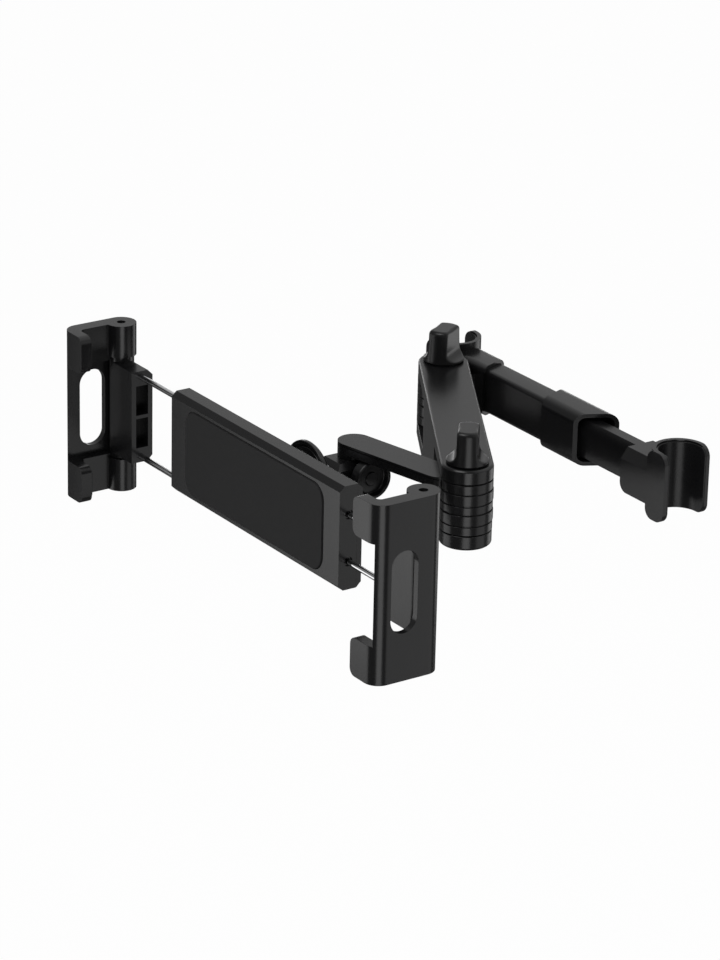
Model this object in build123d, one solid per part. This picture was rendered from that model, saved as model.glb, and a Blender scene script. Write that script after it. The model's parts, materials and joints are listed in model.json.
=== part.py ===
from build123d import *
import os
from math import asin, atan2, cos, degrees, hypot, radians

# Headrest tablet holder. Millimetres, +Z up. The origin is the axis of the left headrest post,
# halfway up its hook. +X runs along the bar to the right post, and +Y runs towards the seat's front.

# Hooks that clip round the two headrest posts
hook_span = 165.9
post_clear_radius = 9.4
liner_wall = 0.8
hook_wall = 1.9
hook_lip = 5.3
hook_height = 31.2
lip_corner = 5.0

# Telescopic bar
tube_width = 12.8
tube_height = 20.4
tube_corner = 2.2
tube_wall = 1.3
tube_end = 101.0
slide_fit = 0.2
inner_wall = 1.2
inner_start = 62.0
inner_bevel_width = 2.2
inner_bevel_height = 5.4
inner_lower_bevel = 0.8
collar_wall = 2.5
collar_corner = 5.0
collar_length = 31.4
collar_lip = 6.4
collar_mouth_wall = 1.8
collar_slant = 19.0
collar_mouth_slant = 28.0
collar_side_share = 0.72
sleeve_wall = 1.6
sleeve_corner = 4.0
sleeve_reach = 17.8
sleeve_slant = 21.0
sleeve_floor = 0.8
plug_reach = 14.0
plug_wall = 1.6
plug_corner = 0.8
end_block_back = 6.4
end_block_height = 19.4
end_block_length = 13.0
end_block_bevel_width = 4.7
end_block_bevel_height = 3.6
end_block_corner = 4.5
end_socket_depth = 12.5
front_plate_reach = 7.1
front_plate_corner = 4.6
front_plate_thickness = 4.1
end_block_back_edge = 1.2

# Upper arm, a link with a forked end at each pivot
back_pivot_x = 19.5
back_pivot_y = -20.0
front_pivot_x = 128.0
front_pivot_y = -84.0
arm_half_width = 11.25
arm_plate = 6.4
arm_top = 13.5
arm_bevel = 0.8
arm_lower_face = -22.7
fork_depth = 34.0
fork_gap = 0.3

# Hinge columns inside the forks
hub_radius = 10.8
band_proud = 0.45
band_height = 4.4
band_tops = [2.1, -7.0]
band_spread = 190.0
back_band_facing = -90.0
front_band_facing = -75.0
hub_web_width = 16.0
ring_recess = 0.9
ring_outer_radius = 8.0
bolt_radius = 2.5
bolt_head_flats = 8.0
bolt_head_height = 3.4
bolt_head_sink = 0.6
bolt_point = 0.5
bolt_above_arm = 11.0
washer_radius = 6.5
washer_height = 0.9

# Wing knobs on the hinge bolts
knob_base_radius = 9.2
knob_top_radius = 8.0
knob_height = 15.2
knob_foot = 1.4
wing_thickness = 9.2
wing_root = 4.0
wing_edge = 1.1
knob_shank_room = 0.6
back_wing_angle = -59.5
front_wing_angle = -38.0

# Lower arm, from the front pivot to the pan pivot over the neck
pan_x = 67.75
pan_y = -100.4
boss_radius = 7.5
lower_arm_plate = 4.7
boss_height = 6.7
groove_depth = 0.5
groove_height = 0.6
groove_below_top = 0.9
strip_overlap = 50.0

# Neck with its ball stud, pan screw and side knob
neck_width = 17.0
neck_height = 13.0
neck_reach = 14.1
neck_edge = 2.6
neck_lower_edge = 1.4
screw_head_radius = 4.2
screw_head_height = 2.8
screw_sink = 0.4
screw_end_wall = 1.6
screw_slot = 1.0
screw_slot_depth = 1.2
screw_slot_angle = 30.0
side_knob_radius = 8.4
side_knob_width = 6.7
side_knob_drop = 6.6
side_knob_rim = 1.2
side_knob_dish = 1.4
side_knob_ring = 1.6
side_knob_centre_drop = 0.5
side_screw_radius = 1.6
side_knob_centre = 3.8
stud_radius = 4.2
spigot_radius = 2.5
spigot_length = 4.5
ball_flat = 0.9
ball_radius = 7.5
ball_reach = 25.6
ball_drop = 5.3

# Ball joint and ring nut
seat_radius = 9.3
seat_floor = 1.1
seat_capture = 1.7
seat_hole_radius = 4.6
seat_slit = 0.8
socket_radius = 11.5
socket_floor = 0.3
nut_radius = 15.0
nut_length = 10.5
nut_end_wall = 1.5
nut_mouth_radius = 13.6
nut_mouth_depth = 5.5
nut_hole_radius = 8.6
nut_rim = 0.9

# Clamp body
body_half_length = 66.0
body_height = 46.6
body_thickness = 11.4
body_wall = 2.2
front_chamfer_depth = 2.3
front_chamfer_height = 2.4
back_chamfer = 2.3
cover_thickness = 2.5
pad_end_margin = 12.0
pad_edge_margin = 1.3
pad_corner = 7.5
pad_thickness = 1.8
pad_proud = 0.6
ball_to_cover = 15.1
body_drop_from_ball = 0.1
screw_places = [-50.0, -24.0, 24.0, 50.0]
shell_screw_radius = 1.4
shell_screw_length = 5.5
shell_screw_head = 2.6
shell_screw_sink = 0.1
shell_screw_boss = 3.2
screw_head_thickness = 1.2
cross_slot = 0.7
cross_length = 3.1
cross_depth = 0.6
pad_edge = 0.4

# Rods and carriers
rod_radius = 1.3
rod_from_front = 4.8
rod_point = 0.3
rod_fit = 0.09
right_rod_heights = [10.3, -10.7]
left_rod_heights = [18.6, -19.2]
rod_guide = 2.5
rod_inner_end = 6.0
rod_hole_radius = 2.1
rod_hole_depth = 0.8
rod_socket_depth = 8.0
carrier_inner = 99.6
carrier_top = 21.3
carrier_bottom = -21.9
carrier_bevel = 2.5
pocket_width = 6.2
pocket_depth = 7.0
pocket_from_rod = 4.2
pocket_rib = 1.6

# Jaws
jaw_axis = 117.6
jaw_axis_from_front = 5.3
knuckle_radius = 6.8
barrel_radius = 5.4
barrel_top = 23.7
barrel_bottom = -24.2
barrel_gap = 0.3
jaw_top = 38.9
jaw_bottom = -39.6
jaw_reach = 26.8
jaw_wall = 3.0
jaw_side_wall = 7.0
jaw_corner = 6.6
jaw_slot_corner = 2.4
hook_tip_reach = 10.6
hook_tall = 17.0
hook_front_wall = 5.2
hook_tip_corner = 3.4
window_height = 36.0
window_width = 13.0
window_from_axis = 12.7
window_centre = -0.4
notch_gap = 0.3
pin_radius = 1.6
pin_recess = 1.6
pin_head_radius = 1.9
pin_head_height = 0.8
jaw_pad_thickness = 0.9
jaw_pad_width = 5.2
jaw_pad_margin = 1.2

# Clearances
bond_gap = 0.1
screw_fit = 0.05
turning_fit = 0.06
seat_gap = 0.3

# Sizes worked out from the ones above
hook_inner_radius = post_clear_radius + liner_wall
hook_outer_radius = hook_inner_radius + hook_wall
arm_length = hypot(front_pivot_x - back_pivot_x, front_pivot_y - back_pivot_y)
arm_angle = degrees(atan2(front_pivot_y - back_pivot_y, front_pivot_x - back_pivot_x))
fork_top = arm_top - arm_plate
fork_bottom = arm_lower_face + arm_plate
hub_top = fork_top - fork_gap
hub_bottom = fork_bottom + fork_gap
lower_arm_top = hub_top
neck_top = lower_arm_top - boss_height - fork_gap
neck_bottom = neck_top - neck_height
ball_y = pan_y - ball_reach
ball_z = neck_top - ball_drop
cover_back = ball_y - ball_to_cover
body_front = cover_back - body_thickness
body_centre = ball_z + body_drop_from_ball
body_top = body_centre + body_height / 2
body_bottom = body_centre - body_height / 2
rod_y = body_front + rod_from_front
jaw_y = body_front + jaw_axis_from_front


def block(x, y, z):
    """A square-edged block between pairs of limits."""
    size = Box(x[1] - x[0], y[1] - y[0], z[1] - z[0])
    return Pos((x[0] + x[1]) / 2, (y[0] + y[1]) / 2, (z[0] + z[1]) / 2) * size


def column(x, y, radius, bottom, top):
    """An upright cylinder."""
    return Pos(x, y, (bottom + top) / 2) * Cylinder(radius, top - bottom)


def rod_along_x(y, z, radius, start, end):
    """A cylinder along X."""
    return Pos((start + end) / 2, y, z) * Rot(0, 90, 0) * Cylinder(radius, abs(end - start))


def rod_along_y(x, z, radius, start, end):
    """A cylinder along Y."""
    return Pos(x, (start + end) / 2, z) * Rot(90, 0, 0) * Cylinder(radius, abs(end - start))


def bar_along_x(width, height, corner, start, end):
    """A rounded bar about the X axis, width along Y and height along Z."""
    section = Plane.YZ.offset(start) * RectangleRounded(width, height, corner)
    return extrude(section, end - start)


def mirrored(shape, side):
    """The same shape for the right side, or its mirror image for the left side."""
    return shape if side == "right" else mirror(shape, Plane.YZ)


def save(name, shape):
    """Write one named piece."""
    export_step(shape, os.path.join("parts", name + ".step"))


# Bar and headrest hooks
def channel_face(radius):
    """Plan of a hook: a half circle, then straight walls out to the lips on the -X side."""
    half_circle = Circle(radius) & (Pos(radius / 2, 0) * Rectangle(radius, 2 * radius))
    return half_circle + Pos(-hook_lip / 2, 0) * Rectangle(hook_lip, 2 * radius)


def round_lips(shape):
    """Round the four corners where the lips end."""
    lips = shape.edges().filter_by(Axis.Y).group_by(Axis.X)[0]
    return fillet(lips, lip_corner)


def hook_channel():
    """The hook's hard shell round the liner, open to -X."""
    ring = channel_face(hook_outer_radius) - channel_face(hook_inner_radius)
    return round_lips(Pos(0, 0, -hook_height / 2) * extrude(ring, hook_height))


def hook_liner():
    """Rubber liner bonded inside the hook."""
    ring = channel_face(hook_inner_radius) - channel_face(post_clear_radius)
    return round_lips(Pos(0, 0, -hook_height / 2) * extrude(ring, hook_height))


def post_space():
    """The room inside a hook's shell, which no other part of the moulding may fill."""
    return Pos(0, 0, -hook_height) * extrude(channel_face(hook_inner_radius), 2 * hook_height)


def cut_end(x, slant, side):
    """A cutter that takes what lies beyond x to one side, on an upright plane turned by the slant."""
    size = 4 * tube_height
    return Pos(x, 0, 0) * Rot(0, 0, slant) * Pos(side * size / 2, 0, 0) * Box(size, 2 * size, 2 * size)


tube_start = hook_outer_radius + sleeve_floor


def outer_tube():
    """Rectangular tube bonded to the left hook."""
    inside = (tube_width - 2 * tube_wall, tube_height - 2 * tube_wall, tube_corner - tube_wall)
    tube = bar_along_x(tube_width, tube_height, tube_corner, tube_start, tube_end)
    return tube - bar_along_x(*inside, tube_start - 1, tube_end + 1)


def tube_collar():
    """Bell mouth bonded over the outer tube's end. Both its ends are slanted in plan."""
    width = tube_width + 2 * (collar_wall + bond_gap)
    height = tube_height + 2 * (collar_side_share * collar_wall + bond_gap)
    mouth = tube_end + collar_lip
    shell = bar_along_x(width, height, collar_corner, mouth - 2 * collar_length, mouth + width)
    shell -= cut_end(mouth - collar_length, collar_slant, -1)
    shell -= cut_end(mouth, -collar_mouth_slant, 1)
    seat = (tube_width + 2 * bond_gap, tube_height + 2 * bond_gap, tube_corner + bond_gap)
    shell -= bar_along_x(*seat, 0, tube_end)
    room = (width - 2 * collar_mouth_wall, height - 2 * collar_mouth_wall, collar_corner - collar_mouth_wall)
    return shell - bar_along_x(*room, tube_end, mouth + width)


def hinge_bands(x, y, facing):
    """Two raised bands on a hinge column, over an arc about the direction that they face."""
    bands = None
    for top in band_tops:
        band = column(x, y, hub_radius + band_proud, top - band_height, top)
        bands = band if bands is None else bands + band
    reach = 4 * hub_radius
    near = hub_radius * cos(radians(band_spread / 2))
    kept = Pos(near + reach / 2, 0, 0) * Box(reach, reach, reach)
    return bands & (Pos(x, y, 0) * Rot(0, 0, facing) * kept)


def hinge_hole(x, y):
    """What a hinge column loses: the bolt's running hole and a recess for the friction ring."""
    hole = column(x, y, bolt_radius + turning_fit, hub_bottom - 1, hub_top + 1)
    return hole + column(x, y, ring_outer_radius + seat_gap, hub_top - ring_recess, hub_top + 1)


def left_hook():
    """One moulding: the left hook, the sleeve and plug for the tube, and the back hinge column."""
    sleeve_width = tube_width + 2 * (sleeve_wall + bond_gap)
    sleeve_height = tube_height + 2 * (sleeve_wall + bond_gap)
    sleeve_end = tube_start + sleeve_reach
    sleeve = bar_along_x(sleeve_width, sleeve_height, sleeve_corner, 0, sleeve_end + sleeve_width)
    sleeve -= cut_end(sleeve_end, sleeve_slant, 1)
    web_x = (back_pivot_x - hub_web_width / 2, back_pivot_x + hub_web_width / 2)
    web = block(web_x, (back_pivot_y, -tube_width / 4), (-sleeve_height / 2, hub_top))
    hub = column(back_pivot_x, back_pivot_y, hub_radius, hub_bottom, hub_top)
    shape = hook_channel() + sleeve + web + hub
    shape += hinge_bands(back_pivot_x, back_pivot_y, back_band_facing)
    shape -= post_space()
    shape -= hinge_hole(back_pivot_x, back_pivot_y)
    pocket = (tube_width + 2 * bond_gap, tube_height + 2 * bond_gap, tube_corner + bond_gap)
    shape -= bar_along_x(*pocket, tube_start - bond_gap, tube_end)
    bore = (tube_width - 2 * (tube_wall + bond_gap), tube_height - 2 * (tube_wall + bond_gap))
    plug_end = tube_start + plug_reach
    plug = bar_along_x(*bore, tube_corner - tube_wall, tube_start - sleeve_floor / 2, plug_end)
    core_size = (bore[0] - 2 * plug_wall, bore[1] - 2 * plug_wall)
    core = bar_along_x(*core_size, plug_corner, tube_start + plug_wall, tube_end)
    return shape + (plug - core)


def inner_section(outward):
    """Outline of the inner tube, with tall bevels above and small ones below, moved outward by a gap."""
    half_y = tube_width / 2 - tube_wall - slide_fit
    half_z = tube_height / 2 - tube_wall - slide_fit
    right_side = [
        (half_y, half_z - inner_bevel_height),
        (half_y - inner_bevel_width, half_z),
    ]
    lower_side = [
        (inner_lower_bevel - half_y, -half_z),
        (half_y - inner_lower_bevel, -half_z),
        (half_y, inner_lower_bevel - half_z),
    ]
    left_side = [(-y, z) for y, z in reversed(right_side)] + [(-half_y, inner_lower_bevel - half_z)]
    outline = make_face(Polyline(*right_side, *left_side, *lower_side, close=True))
    return offset(outline, outward, kind=Kind.INTERSECTION) if outward else outline


block_start = hook_span - hook_outer_radius - end_block_length
inner_end = block_start + end_socket_depth


def inner_tube():
    """Bevelled tube that slides in the outer tube and carries the right hook."""
    section = inner_section(0) - inner_section(-inner_wall)
    return extrude(Plane.YZ.offset(inner_start) * section, inner_end - inner_start)


def end_block():
    """Block behind the right hook, bevelled along its upper front edge, its lower inner corner round."""
    half = end_block_height / 2
    x = (block_start, hook_span - hook_inner_radius / 2)
    shape = block(x, (-hook_outer_radius, end_block_back), (-half, half))
    front = shape.faces().sort_by(Axis.Y)[0]
    bevel = front.edges().filter_by(Axis.X).sort_by(Axis.Z)[-1]
    shape = chamfer(bevel, end_block_bevel_width, end_block_bevel_height, reference=front)
    back = shape.faces().sort_by(Axis.Y)[-1].edges().filter_by(Axis.X)
    shape = chamfer(back, end_block_back_edge)
    corner = shape.faces().sort_by(Axis.Z)[0].edges().filter_by(Axis.Y).sort_by(Axis.X)[0]
    return fillet(corner, end_block_corner)


def front_plate():
    """Flat front of the right hook, level with its lip and as tall as the hook."""
    x = (hook_span - front_plate_reach, hook_span)
    y = (-hook_outer_radius, -hook_outer_radius + front_plate_thickness)
    plate = block(x, y, (-hook_height / 2, hook_height / 2))
    return fillet(plate.edges().filter_by(Axis.Y).group_by(Axis.X)[0], front_plate_corner)


def right_hook():
    """One moulding: the right hook and the bevelled block that holds the inner tube's end."""
    place = Pos(hook_span, 0, 0) * Rot(0, 0, 180)
    shape = place * hook_channel() + (end_block() + front_plate() - place * post_space())
    socket = inner_section(bond_gap)
    return shape - extrude(Plane.YZ.offset(block_start - 1) * socket, end_socket_depth + 1 + bond_gap)


# Upper arm and what turns on it
def arm_outline(half_width):
    """Plan of the upper arm: straight sides and a half circle about each pivot."""
    return Pos(arm_length / 2, 0) * SlotCenterToCenter(arm_length, 2 * half_width)


def on_arm(shape):
    """Lay a shape drawn along X from the back pivot on the arm's own line."""
    return Pos(back_pivot_x, back_pivot_y, 0) * Rot(0, 0, arm_angle) * shape


def bolt_heights():
    """Underside of the bolt's head, and its tip inside the knob."""
    return arm_lower_face + bolt_head_height + bolt_head_sink, arm_top + bolt_above_arm


def upper_arm():
    """Solid link with a fork at each end. A hexagon under each pivot holds the bolt's head."""
    arm = Pos(0, 0, arm_lower_face) * extrude(arm_outline(arm_half_width), arm_top - arm_lower_face)
    arm = chamfer(arm.faces().sort_by(Axis.Z)[-1].edges(), arm_bevel)
    arm = chamfer(arm.faces().sort_by(Axis.Z)[0].edges(), arm_bevel)
    head_seat = bolt_heights()[0]
    for x, inward in ((0, 1), (arm_length, -1)):
        reach = (x - inward * 2 * arm_half_width, x + inward * fork_depth)
        gap = block(sorted(reach), (-2 * arm_half_width, 2 * arm_half_width), (fork_bottom, fork_top))
        arm -= gap
        arm -= column(x, 0, bolt_radius + screw_fit, arm_lower_face - 1, arm_top + 1)
        socket = RegularPolygon(bolt_head_flats / 2 + bond_gap, 6, major_radius=False)
        depth = head_seat - arm_lower_face + 1
        arm -= Pos(x, 0, arm_lower_face - 1) * extrude(socket, depth)
    return on_arm(arm)


def hinge_bolt(x, y):
    """Hexagon-headed bolt that is held from turning in the upper arm's lower plate."""
    seat, tip = bolt_heights()
    head = Pos(0, 0, seat - bolt_head_height) * extrude(
        RegularPolygon(bolt_head_flats / 2, 6, major_radius=False), bolt_head_height)
    shank = column(0, 0, bolt_radius, seat, tip)
    shank = chamfer(shank.faces().sort_by(Axis.Z)[-1].edges(), bolt_point)
    return Pos(x, y, 0) * Rot(0, 0, arm_angle) * (head + shank)


def friction_ring(x, y):
    """Flat ring between the fork's top plate and the hinge column."""
    bottom = hub_top - ring_recess + seat_gap
    ring = column(x, y, ring_outer_radius, bottom, fork_top)
    return ring - column(x, y, bolt_radius + seat_gap, bottom - 1, fork_top + 1)


def knob_washer(x, y):
    """Steel washer under a wing knob."""
    disc = column(x, y, washer_radius, arm_top, arm_top + washer_height)
    return disc - column(x, y, bolt_radius + seat_gap, arm_top - 1, arm_top + washer_height + 1)


def wing_knob(x, y, angle):
    """Tapered knob with a scoop in each side, which leaves one thick wing to turn it by."""
    body = Pos(0, 0, knob_height / 2) * Cone(knob_base_radius, knob_top_radius, knob_height)
    for side in (1, -1):
        reach = (-2 * knob_base_radius, 2 * knob_base_radius)
        width = sorted((side * wing_thickness / 2, side * 2 * knob_base_radius))
        scoop = block(reach, width, (knob_foot, knob_height + knob_foot))
        lower_edges = scoop.faces().sort_by(Axis.Z)[0].edges().filter_by(Axis.X)
        body -= fillet(lower_edges.sort_by(lambda edge: abs(edge.center().Y))[0], wing_root)
    body = chamfer(body.faces().sort_by(Axis.Z)[-1].edges(), wing_edge)
    body -= column(0, 0, washer_radius + seat_gap, -1, washer_height)
    body -= column(0, 0, bolt_radius + turning_fit, -1, bolt_above_arm + knob_shank_room - seat_gap)
    return Pos(x, y, arm_top + seat_gap) * Rot(0, 0, angle) * body


# Lower arm
def lower_arm_angle():
    """The strip's direction: its front edge is tangent to both the boss and the hinge column."""
    run = hypot(front_pivot_x - pan_x, front_pivot_y - pan_y)
    line = degrees(atan2(front_pivot_y - pan_y, front_pivot_x - pan_x))
    return line - degrees(asin((hub_radius - boss_radius) / run))


def lower_arm():
    """Flat strip from the deep boss over the neck to the banded hinge column in the upper arm."""
    strip = Pos(strip_overlap / 2, 0) * SlotCenterToCenter(strip_overlap, 2 * boss_radius)
    place = Pos(pan_x, pan_y, 0) * Rot(0, 0, lower_arm_angle())
    under = lower_arm_top - lower_arm_plate
    plate = place * Pos(0, 0, under) * extrude(strip, lower_arm_plate)
    hub = column(front_pivot_x, front_pivot_y, hub_radius, hub_bottom, lower_arm_top)
    boss = column(pan_x, pan_y, boss_radius, lower_arm_top - boss_height, lower_arm_top)
    shape = plate + hub + boss
    shape += hinge_bands(front_pivot_x, front_pivot_y, front_band_facing)
    ring = strip - offset(strip, -groove_depth)
    groove = Pos(0, 0, lower_arm_top - groove_below_top - groove_height) * extrude(ring, groove_height)
    groove = place * groove - column(front_pivot_x, front_pivot_y, hub_radius + 1, under, lower_arm_top)
    shape -= groove
    shape -= hinge_hole(front_pivot_x, front_pivot_y)
    return shape - column(pan_x, pan_y, bolt_radius + screw_fit, neck_bottom, lower_arm_top - screw_end_wall)


# Neck
head_seat_z = neck_bottom + screw_sink + screw_head_height
side_knob_z = neck_top - side_knob_drop


def neck():
    """Block that turns under the lower arm's boss, with sockets for the ball stud and two screws."""
    half = neck_width / 2
    front = pan_y - neck_reach
    body = column(pan_x, pan_y, half, neck_bottom, neck_top)
    body += block((pan_x - half, pan_x + half), (front, pan_y), (neck_bottom, neck_top))
    body = chamfer(body.faces().sort_by(Axis.Z)[-1].edges(), neck_edge)
    body = chamfer(body.faces().sort_by(Axis.Z)[0].edges(), neck_lower_edge)
    body -= column(pan_x, pan_y, bolt_radius + turning_fit, neck_bottom - 1, neck_top + 1)
    body -= column(pan_x, pan_y, screw_head_radius + seat_gap, neck_bottom - 1, head_seat_z + seat_gap)
    body -= rod_along_x(pan_y, side_knob_z, side_screw_radius + turning_fit, pan_x, pan_x + neck_width)
    hole_end = front + spigot_length + seat_gap
    return body - rod_along_y(pan_x, ball_z, spigot_radius + screw_fit, front - 1, hole_end)


def ball_stud():
    """Steel ball on a stem, screwed into the neck's front. The ball's far end is turned flat."""
    front = pan_y - neck_reach
    stem = rod_along_y(pan_x, ball_z, stud_radius, ball_y, front)
    spigot = rod_along_y(pan_x, ball_z, spigot_radius, front - 1, front + spigot_length)
    ball = Pos(pan_x, ball_y, ball_z) * Rot(90, 0, 0) * Sphere(ball_radius)
    side = 2 * ball_radius
    flat_y = ball_y - ball_radius + ball_flat
    ball -= Pos(pan_x, flat_y - ball_radius, ball_z) * Box(side, side, side)
    return ball + stem + spigot


def pan_screw():
    """Shouldered screw that carries the neck under the lower arm."""
    bottom = neck_bottom + screw_sink
    shank = column(pan_x, pan_y, bolt_radius, head_seat_z - 1, lower_arm_top - screw_end_wall - seat_gap)
    head = column(pan_x, pan_y, screw_head_radius, bottom, head_seat_z)
    place = Pos(pan_x, pan_y, bottom) * Rot(0, 0, screw_slot_angle)
    return head + shank - place * Box(3 * screw_head_radius, screw_slot, 2 * screw_slot_depth)


def side_knob():
    """Round thumb knob whose screw presses on the pan screw's shank and stops the neck turning."""
    start = pan_x + neck_width / 2 + seat_gap
    end = start + side_knob_width
    disc = rod_along_x(pan_y, side_knob_z, side_knob_radius, start, end)
    disc = chamfer(disc.edges().filter_by(GeomType.CIRCLE), side_knob_rim)
    dish_radius = side_knob_radius - side_knob_ring
    dish_floor = end - side_knob_dish
    dish = rod_along_x(pan_y, side_knob_z, dish_radius, dish_floor, end + 1)
    dish -= rod_along_x(pan_y, side_knob_z, side_knob_centre, dish_floor - 1, end - side_knob_centre_drop)
    shank_start = pan_x + bolt_radius + seat_gap
    return disc - dish + rod_along_x(pan_y, side_knob_z, side_screw_radius, shank_start, start + 1)


# Ball joint
def ball_seat():
    """Split nylon cup that grips the ball inside the clamp's socket, open through its floor."""
    front = ball_y - ball_radius - seat_floor
    back = ball_y + seat_capture
    cup = rod_along_y(pan_x, ball_z, seat_radius, front, back)
    cup -= Pos(pan_x, ball_y, ball_z) * Rot(90, 0, 0) * Sphere(ball_radius + turning_fit)
    cup -= rod_along_y(pan_x, ball_z, seat_hole_radius, front - 1, ball_y)
    slit_centre = Pos(pan_x, (ball_y + back + 1) / 2, ball_z)
    for angle in (45, 135):
        cup -= slit_centre * Rot(0, angle, 0) * Box(3 * seat_radius, back + 1 - ball_y, seat_slit)
    return cup


def ring_nut():
    """Cup-shaped nut that screws over the socket and closes the seat on the ball."""
    back = ball_y + seat_capture + seat_gap + nut_end_wall
    front = back - nut_length
    nut = rod_along_y(pan_x, ball_z, nut_radius, front, back)
    nut = chamfer(nut.edges().filter_by(GeomType.CIRCLE), nut_rim)
    nut -= rod_along_y(pan_x, ball_z, nut_mouth_radius, front - 1, front + nut_mouth_depth)
    nut -= rod_along_y(pan_x, ball_z, socket_radius + seat_gap, front, back - nut_end_wall)
    return nut - rod_along_y(pan_x, ball_z, nut_hole_radius, front, back + 1)


# Clamp body
cover_front = cover_back - cover_thickness


def clamp_block():
    """Outer form of the closed clamp body, with bevelled front and back edges."""
    x = (pan_x - body_half_length, pan_x + body_half_length)
    body = block(x, (body_front, cover_back), (body_bottom, body_top))
    body = chamfer(body.faces().sort_by(Axis.Y)[0].edges().filter_by(Axis.X),
                   front_chamfer_depth, front_chamfer_height)
    return chamfer(body.faces().sort_by(Axis.Y)[-1].edges().filter_by(Axis.X), back_chamfer)


def all_rods():
    """Each rod's side and height above the ball's level."""
    rods = [("right", height) for height in right_rod_heights]
    return rods + [("left", height) for height in left_rod_heights]


def pad_outline(inset):
    """The grip pad's outline on the clamp's front face."""
    width = 2 * (body_half_length - pad_end_margin - inset)
    height = body_height - 2 * (front_chamfer_height + pad_edge_margin + inset)
    return RectangleRounded(width, height, pad_corner - inset)


def pad_slab(inset, start, end):
    """A slab of the pad's outline between two depths."""
    face = Plane(origin=(pan_x, end, body_centre), x_dir=(1, 0, 0), z_dir=(0, -1, 0)) * pad_outline(inset)
    return extrude(face, end - start)


pad_floor = body_front + pad_thickness - pad_proud


def clamp_shell():
    """Front moulding: outer walls, rod guides that run its whole length, and screw bosses."""
    x = (pan_x - body_half_length, pan_x + body_half_length)
    full_z = (body_bottom - 1, body_top + 1)
    shell = clamp_block() - block((x[0] - 1, x[1] + 1), (cover_front, cover_back + 1), full_z)
    inside_x = (x[0] + body_wall, x[1] - body_wall)
    inside_z = (body_bottom + body_wall, body_top - body_wall)
    hollow = block(inside_x, (pad_floor + body_wall, cover_front + 1), inside_z)
    for side, height in all_rods():
        guide_z = (level_of(height) - rod_guide, level_of(height) + rod_guide)
        hollow -= block(x, (body_front, cover_front - seat_gap), guide_z)
    for place in screw_places:
        hollow -= rod_along_y(pan_x + place, body_centre, shell_screw_boss, body_front, cover_front)
    shell -= hollow
    for side, height in all_rods():
        sign = 1 if side == "right" else -1
        end = pan_x + sign * body_half_length
        far = end - sign * 2 * (body_half_length - body_wall)
        near = end - sign * rod_hole_depth
        shell -= rod_along_x(rod_y, level_of(height), rod_radius + rod_fit, min(far, end), max(far, end))
        shell -= rod_along_x(rod_y, level_of(height), rod_hole_radius, min(near, end), max(near, end))
    for place in screw_places:
        hole = (shell_screw_radius + screw_fit, pad_floor + body_wall, cover_front + 1)
        shell -= rod_along_y(pan_x + place, body_centre, *hole)
    return shell - pad_slab(-bond_gap, body_front - 1, pad_floor)


def grip_pad():
    """Rubber pad that stands a little proud of the clamp's front face."""
    pad = pad_slab(0, body_front - pad_proud, pad_floor)
    return chamfer(pad.faces().sort_by(Axis.Y)[0].edges(), pad_edge)


def clamp_cover():
    """Back cover with the socket for the ball joint."""
    x = (pan_x - body_half_length - 1, pan_x + body_half_length + 1)
    cover = clamp_block() & block(x, (cover_front, cover_back + 1), (body_bottom - 1, body_top + 1))
    seat_front = ball_y - ball_radius - seat_floor - socket_floor
    socket_back = ball_y + seat_capture - seat_gap
    cover += rod_along_y(pan_x, ball_z, socket_radius, cover_front, socket_back)
    cover -= rod_along_y(pan_x, ball_z, seat_radius + seat_gap, seat_front, socket_back + 1)
    head_floor = cover_back - shell_screw_sink - screw_head_thickness
    for place in screw_places:
        x = pan_x + place
        cover -= rod_along_y(x, body_centre, shell_screw_radius + screw_fit, cover_front - 1, cover_back)
        cover -= rod_along_y(x, body_centre, shell_screw_head + bond_gap, head_floor, cover_back + 1)
    return cover


def cover_screws():
    """The four screws that hold the back cover."""
    top = cover_back - shell_screw_sink
    floor = top - screw_head_thickness
    screws = []
    for place in screw_places:
        x = pan_x + place
        head = rod_along_y(x, body_centre, shell_screw_head, floor, top)
        shank_y = (floor - shell_screw_length, top - cross_depth)
        shank = rod_along_y(x, body_centre, shell_screw_radius, *shank_y)
        slot = Box(cross_length, 2 * cross_depth, cross_slot)
        slot += Box(cross_slot, 2 * cross_depth, cross_length)
        recess = Pos(x, top, body_centre) * slot
        screws.append(head + shank - recess)
    return Compound(children=screws)


# Carriers, rods and jaws, drawn for the right side about the clamp's middle
def level_of(height):
    """World height of something given from the clamp's middle."""
    return body_centre + height


def carrier(heights):
    """Block on the two rods, with the jaw's hinge barrel on one end and two pockets in the other."""
    y = (jaw_y - barrel_radius, jaw_y + barrel_radius)
    body = block((carrier_inner, jaw_axis), y, (level_of(carrier_bottom), level_of(carrier_top)))
    body = chamfer(body.faces().sort_by(Axis.Y)[-1].edges().filter_by(Axis.X), carrier_bevel)
    barrel_z = (level_of(barrel_bottom), level_of(barrel_top))
    body += column(jaw_axis, jaw_y, barrel_radius, *barrel_z)
    pocket_x = (carrier_inner - 1, carrier_inner + pocket_depth)
    pocket_y = (jaw_y - pocket_width / 2, jaw_y + pocket_width / 2)
    low = level_of(heights[1] + pocket_from_rod)
    high = level_of(heights[0] - pocket_from_rod)
    rib = (low + high) / 2
    body -= block(pocket_x, pocket_y, (low, rib - pocket_rib / 2))
    body -= block(pocket_x, pocket_y, (rib + pocket_rib / 2, high))
    body -= column(jaw_axis, jaw_y, pin_radius + turning_fit, barrel_z[0] - 1, barrel_z[1] + 1)
    socket_end = carrier_inner + rod_socket_depth + bond_gap
    for height in heights:
        body -= rod_along_x(rod_y, level_of(height), rod_radius + screw_fit, carrier_inner - 1, socket_end)
    return body


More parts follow.
